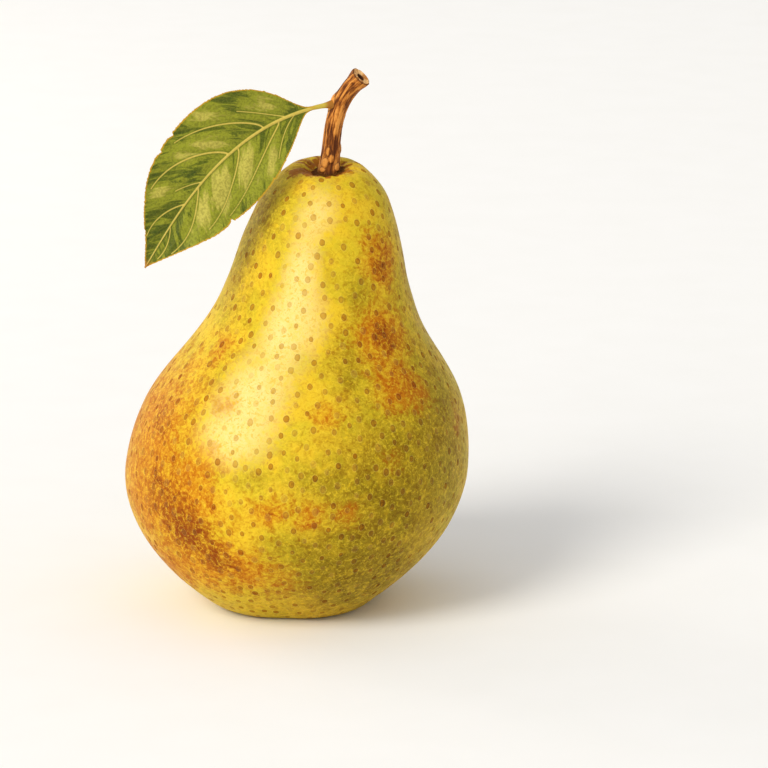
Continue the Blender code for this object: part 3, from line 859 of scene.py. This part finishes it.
LEAF_SWING = math.radians(22)
LEAF_DROOP_AT_STEM = math.radians(5)
LEAF_DROOP_AT_TIP = math.radians(57)
LEAF_ROLL = math.radians(12)
LEAF_FOLD = math.radians(9)
LEAF_WAVE = 0.7
LEAF_BENDS = 34
PETIOLE_LENGTH = 4.8
PETIOLE_RADIUS = 0.6
PETIOLE_FOOT_RADIUS = 1.1
PETIOLE_FOOT_LENGTH = 1.2
PETIOLE_IN_STEM = 1.8
BLADE_LENGTH = 45.6
UPPER_HALF_WIDTH = 11.2
LOWER_HALF_WIDTH = 10.7
BLADE_WIDEST = 0.45
BLADE_RISE = 0.92
BLADE_BASE = 0.06
PLAIN_THICKNESS = 0.4
PLAIN_MIDRIB = 1.0
BLADE_THICKNESS = 0.22
TOOTH_PITCH = 0.92
TOOTH_DEPTH = 0.17
LEAF_ROWS = 300
LEAF_COLUMNS = 118
# The petiole's finer form: it thickens into the stem, most of all a little way inside the bark
STALK_RADIUS = 0.46
STALK_FLARE = 0.10
STALK_FLARE_ACROSS = 0.55
FLARE_IN_STEM = 0.9
FLARE_LENGTH = 1.5
WING_START = 2.6
WING_HALF_WIDTH = 0.8
# Where the blade is fuller or slimmer than its plain outline: share of its width, place and length as shares
UPPER_FULLER = ((0.09, 0.25, 0.16), (0.06, 0.68, 0.10), (-0.12, 0.91, 0.05), (-0.30, 0.02, 0.075))
LOWER_FULLER = ((-0.22, 0.0, 0.055), (-0.02, 0.35, 0.20))
LOWER_TIP_FULLER = 0.07
MIDRIB_HALF_WIDTH = 0.31
MIDRIB_TAPER = 0.24
VEIN_SCALE = 0.54
VEIN_LEAST = 0.06

# Side (1 upper, -1 lower), where it leaves the midrib, where it ends, how far out it ends, how it bows, and
# half its width at the start in mm. All but the last are shares of the blade.
VEINS = (
    (1, 0.095, 0.27, 0.62, 0.80, 0.13),
    (1, 0.205, 0.52, 0.86, 0.60, 0.24),
    (1, 0.395, 0.71, 0.90, 0.72, 0.27),
    (1, 0.560, 0.66, 0.34, 0.95, 0.15),
    (1, 0.680, 0.88, 0.80, 0.95, 0.20),
    (-1, 0.055, 0.22, -0.80, 0.70, 0.11),
    (-1, 0.130, 0.60, -0.86, 0.52, 0.19),
    (-1, 0.345, 0.71, -0.84, 0.64, 0.20),
    (-1, 0.585, 0.89, -0.92, 0.95, 0.18),
    (-1, 0.790, 0.94, -0.70, 1.00, 0.10),
)
# Pale brushed patches between the veins: share along, share out, half length, half width in mm, strength
LIGHT = (
    (0.17, 0.62, 4.0, 2.2, 0.8),
    (0.36, 0.80, 5.0, 1.7, 0.7),
    (0.43, 0.40, 5.2, 1.7, 0.9),
    (0.52, 0.55, 4.0, 1.5, 0.8),
    (0.70, 0.66, 3.4, 1.5, 0.9),
    (0.60, 0.10, 2.0, 1.0, 0.3),
    (0.26, -0.70, 6.0, 1.8, 0.8),
    (0.38, -0.42, 5.5, 2.4, 1.0),
    (0.53, -0.38, 5.5, 2.6, 1.2),
    (0.66, -0.45, 4.5, 2.2, 1.0),
    (0.58, -0.78, 5.0, 1.5, 0.6),
    (0.77, -0.60, 3.6, 1.2, 0.5),
)
# Old nicks in the edge: side, share along, and depth in mm
NOTCHES = ((1, 0.500, 0.55), (1, 0.575, 0.45), (-1, 0.605, 0.60), (-1, 0.300, 0.25), (1, 0.860, 0.25))


def blade_shape(share):
    """How wide the blade is at this share of its length, as a share of its widest."""
    fall = BLADE_RISE * (1 - BLADE_WIDEST) / BLADE_WIDEST
    return (share / BLADE_WIDEST) ** BLADE_RISE * ((1 - share) / (1 - BLADE_WIDEST)) ** fall


def leaf_form(distance, detail=None):
    """Rings of points round the leaf at these distances from the petiole's foot, with each point's place on
    the flattened blade and its distance from the margin. The plain form has no detail."""
    reach = np.linspace(0.0, 1.0, 2001)
    bend = np.sin(math.pi / 2 * np.maximum(reach - 0.5 / LEAF_BENDS, 0.0))
    droop = LEAF_DROOP_AT_STEM + (LEAF_DROOP_AT_TIP - LEAF_DROOP_AT_STEM) * bend
    level = np.cos(droop)
    heading = np.stack([-math.cos(LEAF_SWING) * level, -math.sin(LEAF_SWING) * level, -np.sin(droop)], -1)
    whole = PETIOLE_LENGTH + BLADE_LENGTH
    line = np.concatenate([[np.zeros(3)], np.cumsum(heading[:-1], axis=0)]) * whole / 2000
    at = np.clip(distance / whole, 0.0, 1.0)
    middle = np.stack([np.interp(at, reach, line[:, i]) for i in range(3)], -1)
    heading = np.stack([np.interp(at, reach, heading[:, i]) for i in range(3)], -1)
    middle += heading * np.minimum(distance, 0.0)[:, None]
    toward = np.array((0.0, -math.cos(LEAF_ROLL), math.sin(LEAF_ROLL)))
    normal = toward - heading * (heading @ toward)[:, None]
    normal /= np.linalg.norm(normal, axis=1, keepdims=True)
    across = np.cross(heading, normal)
    rolled = across * math.cos(LEAF_ROLL) + normal * math.sin(LEAF_ROLL)
    normal = normal * math.cos(LEAF_ROLL) - across * math.sin(LEAF_ROLL)

    share = np.clip((distance - PETIOLE_LENGTH) / BLADE_LENGTH, 1e-6, 0.9985)[:, None]
    out = np.linspace(-1.0, 1.0, LEAF_COLUMNS + 1)[None, :]
    half_width = np.where(out > 0, UPPER_HALF_WIDTH, LOWER_HALF_WIDTH) * blade_shape(share)
    if detail:
        upper = sum(most * bell(share - place, long) for most, place, long in UPPER_FULLER)
        lower = sum(most * bell(share - place, long) for most, place, long in LOWER_FULLER)
        lower = lower + LOWER_TIP_FULLER * smooth_step((share - 0.60) / 0.12)
        half_width = half_width * (1.0 + np.where(out > 0, upper, lower))
        blade_way = share * BLADE_LENGTH
        pitch = TOOTH_PITCH * (1.0 + 0.25 * np.sin(blade_way * 0.7 + 2.0 * (out > 0)))
        tooth = (blade_way / pitch + 0.37 * (out > 0)) % 1.0
        depth = TOOTH_DEPTH * smooth_step(share / 0.10) * smooth_step((1 - share) / 0.06)
        teeth = depth * (tooth - 0.5)
        for side, place, cut_depth in NOTCHES:
            behind = np.where(share > place, bell(share - place, 0.016), 0.0)
            teeth = teeth - cut_depth * behind * (np.sign(out) == side)
        edge_only = smooth_step((np.abs(out) - 0.80) / 0.20)
        half_width = half_width + teeth * edge_only
        wing = smooth_step((distance[:, None] - PETIOLE_LENGTH + WING_START) / 3.4)
        wing = wing * smooth_step(1.6 - 8.0 * share)
        half_width = np.hypot(half_width, WING_HALF_WIDTH * wing)
    foot = bell(np.maximum(distance, 0.0), PETIOLE_FOOT_LENGTH)
    stalk = PETIOLE_RADIUS + (PETIOLE_FOOT_RADIUS - PETIOLE_RADIUS) * foot
    tall = np.ones_like(stalk)
    if detail:
        foot = bell(distance + FLARE_IN_STEM, FLARE_LENGTH)
        stalk = STALK_RADIUS + STALK_FLARE * foot
        stalk = stalk * np.sqrt(np.maximum(1.0 - np.minimum(distance + FLARE_IN_STEM, 0.0) ** 2, 0.05))
        tall = 1.0 + STALK_FLARE_ACROSS * foot
    half_width = np.maximum(half_width, stalk[:, None] * (0.35 if detail else 1.0))
    flat = np.stack([share * BLADE_LENGTH + 0.0 * out, out * half_width], -1)
    lift = np.sqrt(flat[..., 1] ** 2 + 0.5) - math.sqrt(0.5) if detail else np.abs(flat[..., 1])
    wave = LEAF_WAVE * np.sin(3 * math.pi * share) * np.sin(math.pi * share)
    up = lift * math.sin(LEAF_FOLD) + wave * out**2
    if detail:
        up = up + detail["bulge"](flat)
    sheet = (
        middle[:, None]
        + rolled[:, None] * (flat[..., 1] * math.cos(LEAF_FOLD))[..., None]
        + normal[:, None] * up[..., None]
    )
    if detail:
        above, below = detail["thickness"](flat)
    else:
        ridge = PLAIN_MIDRIB + (PLAIN_THICKNESS - PLAIN_MIDRIB) * share
        above = below = (PLAIN_THICKNESS + (ridge - PLAIN_THICKNESS) * (1 - np.abs(out)) ** 3) / 2
    face = sheet + normal[:, None] * above[..., None]
    back = sheet - normal[:, None] * below[..., None]
    blade = np.concatenate([face, back[:, ::-1]], 1)
    angle = math.pi * (np.arange(LEAF_COLUMNS + 1) + 0.5) / (LEAF_COLUMNS + 1)
    half = (
        normal[:, None] * np.sin(angle)[None, :, None]
        - (rolled * tall[:, None])[:, None] * np.cos(angle)[None, :, None]
    ) * stalk[:, None, None]
    round_part = np.concatenate([middle[:, None] + half, middle[:, None] - half], 1)
    flatness = smooth_step(share / BLADE_BASE)[..., None]
    if detail:
        flatness = smooth_step((distance - PETIOLE_LENGTH + WING_START) / 3.6)[:, None, None]
    rings = round_part + (blade - round_part) * flatness
    margin = half_width * (1.0 - np.abs(out))
    return rings, np.concatenate([flat, flat[:, ::-1]], 1), np.concatenate([margin, margin[:, ::-1]], 1)


def vein_lines():
    """Each vein's points on the flattened blade, with half its width at each: the midrib comes first."""
    run = np.linspace(0.0, 1.0, 41)
    midrib = np.stack([run * BLADE_LENGTH, 0.0 * run], -1)
    lines = [(midrib, MIDRIB_HALF_WIDTH - MIDRIB_TAPER * run)]
    for side, start, end, out, bow, half in VEINS:
        share = start + (end - start) * run
        width = (UPPER_HALF_WIDTH if side > 0 else LOWER_HALF_WIDTH) * blade_shape(share)
        points = np.stack([share * BLADE_LENGTH, out * run**bow * width], -1)
        lines.append((points, np.maximum(VEIN_SCALE * half * (1.0 - 0.5 * run), VEIN_LEAST)))
    return lines


def vein_distance(flat, lines):
    """From each point of the flattened blade, how far it is to the nearest of these veins' edges, in mm."""
    nearest = np.full(flat.shape[:-1], 99.0)
    for points, half in lines:
        for start, step, wide in zip(points[:-1], np.diff(points, axis=0), half):
            offset = flat - start
            share = np.clip(offset @ step / (step @ step), 0.0, 1.0)
            offset = offset - share[..., None] * step
            nearest = np.minimum(nearest, np.hypot(offset[..., 0], offset[..., 1]) - wide)
    return nearest


def blade_bulge(flat):
    """The blade swells a little between its veins, and is uneven."""
    valley = vein_distance(flat, vein_lines())
    cockle = noise_at(np.concatenate([flat, np.zeros_like(flat[..., :1])], -1), 5.0)
    return 0.26 * smooth_step(np.maximum(valley, 0.0) / 2.2) + 0.16 * cockle


def blade_thickness(flat):
    """Half the blade's thickness on its face and on its back, where the veins stand proud."""
    midrib, *others = vein_lines()
    rib = smooth_step(0.5 - vein_distance(flat, [midrib]) / 0.45)
    side = smooth_step(0.5 - vein_distance(flat, others) / 0.40)
    return (BLADE_THICKNESS / 2 + 0.20 * rib + 0.05 * side, BLADE_THICKNESS / 2 + 0.42 * rib + 0.16 * side)


plain_distance = np.linspace(0.0, PETIOLE_LENGTH + BLADE_LENGTH, LEAF_BENDS + 1)
plain_leaf = leaf_form(plain_distance)[0]
distance = np.concatenate(
    [
        np.linspace(-PETIOLE_IN_STEM, PETIOLE_LENGTH, 34, endpoint=False),
        np.linspace(PETIOLE_LENGTH, PETIOLE_LENGTH + BLADE_LENGTH, LEAF_ROWS),
    ]
)
rings, flat, margin = leaf_form(distance, {"bulge": blade_bulge, "thickness": blade_thickness})
gap_to_vein = vein_distance(flat, vein_lines())
on_face = np.concatenate([np.ones(LEAF_COLUMNS + 1), np.zeros(LEAF_COLUMNS + 1)])[None, :]
light_patch = np.zeros(flat.shape[:-1])
slant = math.radians(42)
for place, out, long, wide, strength in LIGHT:
    half_width = (UPPER_HALF_WIDTH if out > 0 else LOWER_HALF_WIDTH) * blade_shape(place)
    shift_x = flat[..., 0] - place * BLADE_LENGTH
    shift_y = (flat[..., 1] - out * half_width) * math.copysign(1.0, out)
    lengthwise = shift_x * math.cos(slant) + shift_y * math.sin(slant)
    sidewise = shift_y * math.cos(slant) - shift_x * math.sin(slant)
    patch = strength * bell(np.hypot(lengthwise / long, sidewise / wide), 1.0)
    light_patch = np.maximum(light_patch, patch)
brush_way = np.stack(
    [flat[..., 0] - 0.95 * np.abs(flat[..., 1]), 0.35 * flat[..., 1], 3.0 * on_face + 0.0 * margin], -1
)

# Leaf blade: a thin cuticle gives it a satin sheen, and its tones are brushed out along the side veins
leafy, tree = empty_material("pear_leaf_blade")
way = add_node(tree, "ShaderNodeAttribute", {}, "Vector", attribute_name="blade_way")
brushed = add_node(tree, "ShaderNodeAttribute", {}, "Vector", attribute_name="brush_way")
brush = add_node(
    tree,
    "ShaderNodeTexNoise",
    {"Vector": brushed, "Scale": 1 / 1.5, "Detail": 4.0, "Roughness": 0.65, "Distortion": 0.9},
)
cells = add_node(tree, "ShaderNodeTexNoise", {"Vector": way, "Scale": 1 / 0.45, "Detail": 3.0})
patchy, vein, rim, face_side, stalk = (
    add_node(tree, "ShaderNodeAttribute", {}, "Fac", attribute_name=name)
    for name in ("light_patch", "vein_gap", "margin", "on_face", "from_stem")
)
# The finest veins make a net of cells about 0.75 mm wide
net = add_node(tree, "ShaderNodeTexVoronoi", {"Vector": way, "Scale": 1 / 0.75}, feature="DISTANCE_TO_EDGE")
brush_level = add_node(tree, "ShaderNodeMath", {0: brush, 1: 1.9, 2: patchy}, operation="MULTIPLY_ADD")
brush_level = add_node(tree, "ShaderNodeMath", {0: cells, 1: 0.5, 2: brush_level}, operation="MULTIPLY_ADD")
color = tinted(tree, linear("#586208"), linear("#8E9120"), brush_level, 1.18, 1.36)
color = tinted(tree, color, linear("#BDB24C"), brush_level, 1.66, 2.00)
color = tinted(tree, color, linear("#3A4A08"), brush_level, 1.10, 0.92, 0.8)
color = tinted(tree, color, linear("#9C9A6A"), cells, 0.42, 0.62, 0.45, blend="MULTIPLY")
netted = add_node(
    tree,
    "ShaderNodeMapRange",
    {"Value": net, "From Min": 0.09, "From Max": 0.02, "To Max": 0.10},
    interpolation_type="SMOOTHSTEP",
)
color = add_node(
    tree, "ShaderNodeMix", {"Factor": netted, "A": color, "B": linear("#B7B44C")}, data_type="RGBA"
)
# The back is paler and greyer, under a thin down
color = tinted(tree, color, linear("#9FAE68"), face_side, 1.0, 0.0, 0.55)
# A greener edge lies along each vein, and the vein itself is pale yellow
color = tinted(tree, color, linear("#56640E"), vein, 0.45, 0.08, 0.50)
vein_color = add_node(
    tree,
    "ShaderNodeMix",
    {"Factor": cells, "A": linear("#DCC460"), "B": linear("#BCA438")},
    data_type="RGBA",
)
color = tinted(tree, color, vein_color, vein, 0.09, -0.04)
# The margin is dry and ochre, and so is the tip
dry_edge = add_node(tree, "ShaderNodeMath", {0: cells, 1: -0.45, 2: rim}, operation="MULTIPLY_ADD")
color = tinted(tree, color, linear("#C0931F"), dry_edge, 0.14, -0.06)
color = tinted(tree, color, linear("#A96F1C"), stalk, 48.2, 50.0, 0.8)
# The petiole is yellow green, and turns to the stem's brown at its foot
color = tinted(tree, color, linear("#C6AE42"), stalk, PETIOLE_LENGTH - 0.4, PETIOLE_LENGTH - 2.4)
joint_edge = add_node(tree, "ShaderNodeMath", {0: cells, 1: 2.4, 2: stalk}, operation="MULTIPLY_ADD")
color = tinted(tree, color, linear("#A4631F"), joint_edge, 2.5, 1.3, 0.9)
ridge = add_node(tree, "ShaderNodeMath", {0: netted, 1: 1.4, 2: cells}, operation="MULTIPLY_ADD")
satin = add_node(tree, "ShaderNodeMapRange", {"Value": brush, "To Min": 0.42, "To Max": 0.62})
surfaced(tree, color, satin, 0.22, ridge, 0.6, 0.00008)

leaf = loft("leaf_blade", on_node(rings, plain_leaf, "leaf"), leafy, sharp_angle=70)
keep(leaf, "blade_way", np.concatenate([flat, 3.0 * on_face[..., None] + 0.0 * flat[..., :1]], -1))
keep(leaf, "brush_way", brush_way)
keep(leaf, "light_patch", light_patch * on_face)
keep(leaf, "vein_gap", gap_to_vein)
keep(leaf, "margin", margin)
keep(leaf, "on_face", on_face + 0.0 * margin)
keep(leaf, "from_stem", distance[:, None] + 0.0 * margin)
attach(leaf, "root")
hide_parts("leaf")


# Calyx: five dried sepals round a dried tuft of stamens, left from the flower in the basin underneath.
# They are brown and brittle, with a raised middle rib, curled tips and ragged edges.

SEPAL_COUNT = 5
SEPAL_TURN = math.radians(20)
SEPAL_ROOT_RADIUS = 2.1
SEPAL_LENGTH = 4.2
SEPAL_HALF_WIDTH = 0.9
SEPAL_THICKNESS = 0.4
SEPAL_FOLD = math.radians(15)
SEPAL_DROOP_AT_ROOT = math.radians(20)
SEPAL_DROOP_AT_TIP = math.radians(70)
SEPAL_BENDS = 6
PLAIN_SEPAL_COLUMNS = 8
SEPAL_ROWS = 44
SEPAL_COLUMNS = 18
SEPAL_EDGE = 0.05
SEPAL_TIP_CURL = 0.5


def sepal_form(azimuth, rows, columns, detail):
    """Rings of points round a sepal that spreads this way from the middle of the basin and curls down, and
    how near each is to its middle rib. The detail is 0 for the plain form and 1 for the fine one."""
    reach = np.linspace(0.0, 1.0, 601)
    step = reach - 0.5 / SEPAL_BENDS
    droop = SEPAL_DROOP_AT_ROOT + (SEPAL_DROOP_AT_TIP - SEPAL_DROOP_AT_ROOT) * np.maximum(step, 0.0)
    droop = droop + SEPAL_TIP_CURL * detail * smooth_step((reach - 0.7) / 0.3)
    outward = np.array((math.cos(azimuth), math.sin(azimuth), 0.0))
    across = np.array((-math.sin(azimuth), math.cos(azimuth), 0.0))
    heading = outward * np.cos(droop)[:, None] + np.array((0.0, 0.0, -1.0)) * np.sin(droop)[:, None]
    line = np.concatenate([[np.zeros(3)], np.cumsum(heading[:-1], axis=0)]) * SEPAL_LENGTH / 600
    share = np.linspace(0.0, 1.0 - 0.004 * detail, rows)
    middle = np.stack([np.interp(share, reach, line[:, i]) for i in range(3)], -1)
    heading = np.stack([np.interp(share, reach, heading[:, i]) for i in range(3)], -1)
    middle += outward * SEPAL_ROOT_RADIUS
    normal = np.cross(across, heading)
    normal /= np.linalg.norm(normal, axis=1, keepdims=True)
    share = share[:, None]
    out = np.linspace(-1.0, 1.0, columns + 1)[None, :]
    edge = SEPAL_EDGE if detail else 0.6 * SEPAL_THICKNESS
    half_width = np.maximum(SEPAL_HALF_WIDTH * (0.75 + 0.9 * share) * (1.0 - share**2) ** 0.7, edge)
    if detail:
        ragged = noise_at(np.stack(np.broadcast_arrays(6.0 * share, 3.0 * out, azimuth), -1), 0.5)
        half_width = half_width * (1.0 + 0.22 * ragged * out**4)
    lift = np.abs(out) * half_width * math.sin(SEPAL_FOLD)
    if detail:
        wrinkle = noise_at(np.stack(np.broadcast_arrays(2.2 * out, 1.2 * share, azimuth), -1), 0.33)
        lift = lift + 0.10 * wrinkle - 0.30 * out**2 * smooth_step((share - 0.4) / 0.6)
    half = (edge + (SEPAL_THICKNESS - edge) * (1 - np.abs(out)) ** (2 if detail else 3)) / 2
    half = half * (1.0 - 0.5 * share) if detail else half * np.ones_like(share)
    sheet = (
        middle[:, None]
        + across * (out * half_width * math.cos(SEPAL_FOLD))[..., None]
        + normal[:, None] * lift[..., None]
    )
    face = sheet + normal[:, None] * half[..., None]
    back = sheet - normal[:, None] * half[..., None]
    rings = np.concatenate([face, back[:, ::-1]], 1)
    rib = np.concatenate([1 - np.abs(out), (1 - np.abs(out))[:, ::-1]], 1) * np.ones_like(share)
    return rings, rib


# Dried sepal: matt, fibrous and dark, with a painted highlight along its raised rib
dried, tree = empty_material("dried_sepal")
mm = add_node(
    tree,
    "ShaderNodeVectorMath",
    {0: add_node(tree, "ShaderNodeTexCoord", {}, "Object"), "Scale": TO_MM},
    operation="SCALE",
)
fibre = add_node(tree, "ShaderNodeTexNoise", {"Vector": mm, "Scale": 1 / 0.35, "Detail": 4.0})
rib = add_node(tree, "ShaderNodeAttribute", {}, "Fac", attribute_name="rib")
# On a sepal the rib value lightens it towards its raised middle: a painted highlight
level = add_node(tree, "ShaderNodeMath", {0: rib, 1: 0.30, 2: fibre}, operation="MULTIPLY_ADD")
color = tinted(tree, linear("#2C170B"), linear("#9A7244"), level, 0.45, 0.85)
dull = add_node(tree, "ShaderNodeMapRange", {"Value": fibre, "To Min": 0.75, "To Max": 0.95})
surfaced(tree, color, dull, 0.2, fibre, 0.8, 0.0001)

for number in range(SEPAL_COUNT):
    azimuth = SEPAL_TURN + 2 * math.pi * number / SEPAL_COUNT
    plain_sepal = sepal_form(azimuth, SEPAL_BENDS + 1, PLAIN_SEPAL_COLUMNS, 0)[0]
    rings, rib = sepal_form(azimuth, SEPAL_ROWS, SEPAL_COLUMNS, 1)
    node = f"sepal_{number + 1}"
    sepal = loft(f"dried_{node}", on_node(rings, plain_sepal, node), dried, sharp_angle=60)
    keep(sepal, "rib", rib)
    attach(sepal, "root")
    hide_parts(node)


# Stamens: a corky button with dried filaments, each a bent thread with an anther at its end. They hang
# from the button's underside, so the whole tuft is one piece.

TUFT_RADIUS = 1.3
TUFT_THICKNESS = 0.8
STAMEN_COUNT = 19
STAMEN_LENGTH = 1.3
THREAD_RADIUS = 0.085
THREAD_COLUMNS = 10
ANTHER_BULGE = 0.10
GOLDEN_TURN = math.radians(137.5)

tuft_low, tuft_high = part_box("stamens")
tuft_middle = (np.array(tuft_low) + np.array(tuft_high)) / 2 * TO_MM
tuft_top = tuft_high.z * TO_MM
turn = np.linspace(0.0, 2 * math.pi, 40, endpoint=False)[None, :]
fall = np.linspace(0.02, 0.98, 16)[:, None] * math.pi
ball = np.broadcast_arrays(np.sin(fall) * np.cos(turn), np.sin(fall) * np.sin(turn), np.cos(fall))
ball = np.stack(ball, -1)
lumpy = 1.0 + 0.10 * noise_at(ball, 0.4)
button = np.stack(
    [
        tuft_middle[0] + TUFT_RADIUS * lumpy * ball[..., 0],
        tuft_middle[1] + TUFT_RADIUS * lumpy * ball[..., 1],
        tuft_top - TUFT_THICKNESS / 2 + TUFT_THICKNESS / 2 * ball[..., 2],
    ],
    -1,
)
tuft = [loft("stamen_button", button / TO_MM, dried)]
keep(tuft[0], "rib", 0.5 * np.ones(button.shape[:2]))
draw = np.random.default_rng(3)
for number in range(STAMEN_COUNT):
    way = number * GOLDEN_TURN
    root = 0.85 * TUFT_RADIUS * math.sqrt((number + 0.5) / STAMEN_COUNT)
    lean = draw.uniform(0.15, 0.75)
    long = STAMEN_LENGTH * draw.uniform(0.7, 1.05)
    bend = draw.uniform(-0.35, 0.35)
    share = np.linspace(0.0, 1.0, 20)[:, None]
    spread = root + lean * long * share
    swing = way + bend * share**2
    middle = np.concatenate(
        [
            tuft_middle[0] + spread * np.cos(swing),
            tuft_middle[1] + spread * np.sin(swing),
            tuft_top - 0.6 * TUFT_THICKNESS - long * share * (1.0 - 0.25 * lean * share),
        ],
        1,
    )
    thread = THREAD_RADIUS * (1.0 - 0.35 * share) + ANTHER_BULGE * bell(share - 0.90, 0.09)
    thread = thread * np.sqrt(np.clip((1.02 - share) / 0.08, 0.0, 1.0))
    ring = np.linspace(0.0, 2 * math.pi, THREAD_COLUMNS, endpoint=False)
    circle = np.stack([np.cos(ring), np.sin(ring), 0.0 * ring], -1)
    tube = middle[:, None] + circle[None] * thread[..., None]
    tuft.append(loft(f"stamen_{number + 1}", tube / TO_MM, dried))
    keep(tuft[-1], "rib", np.repeat(share, THREAD_COLUMNS, 1))
bpy.ops.object.select_all(action="DESELECT")
bpy.context.view_layer.objects.active = tuft[0]
for piece in tuft:
    piece.select_set(True)
bpy.ops.object.join()
stamens = tuft[0]
stamens.name = "dried_stamens"
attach(stamens, "root")
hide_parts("stamens")
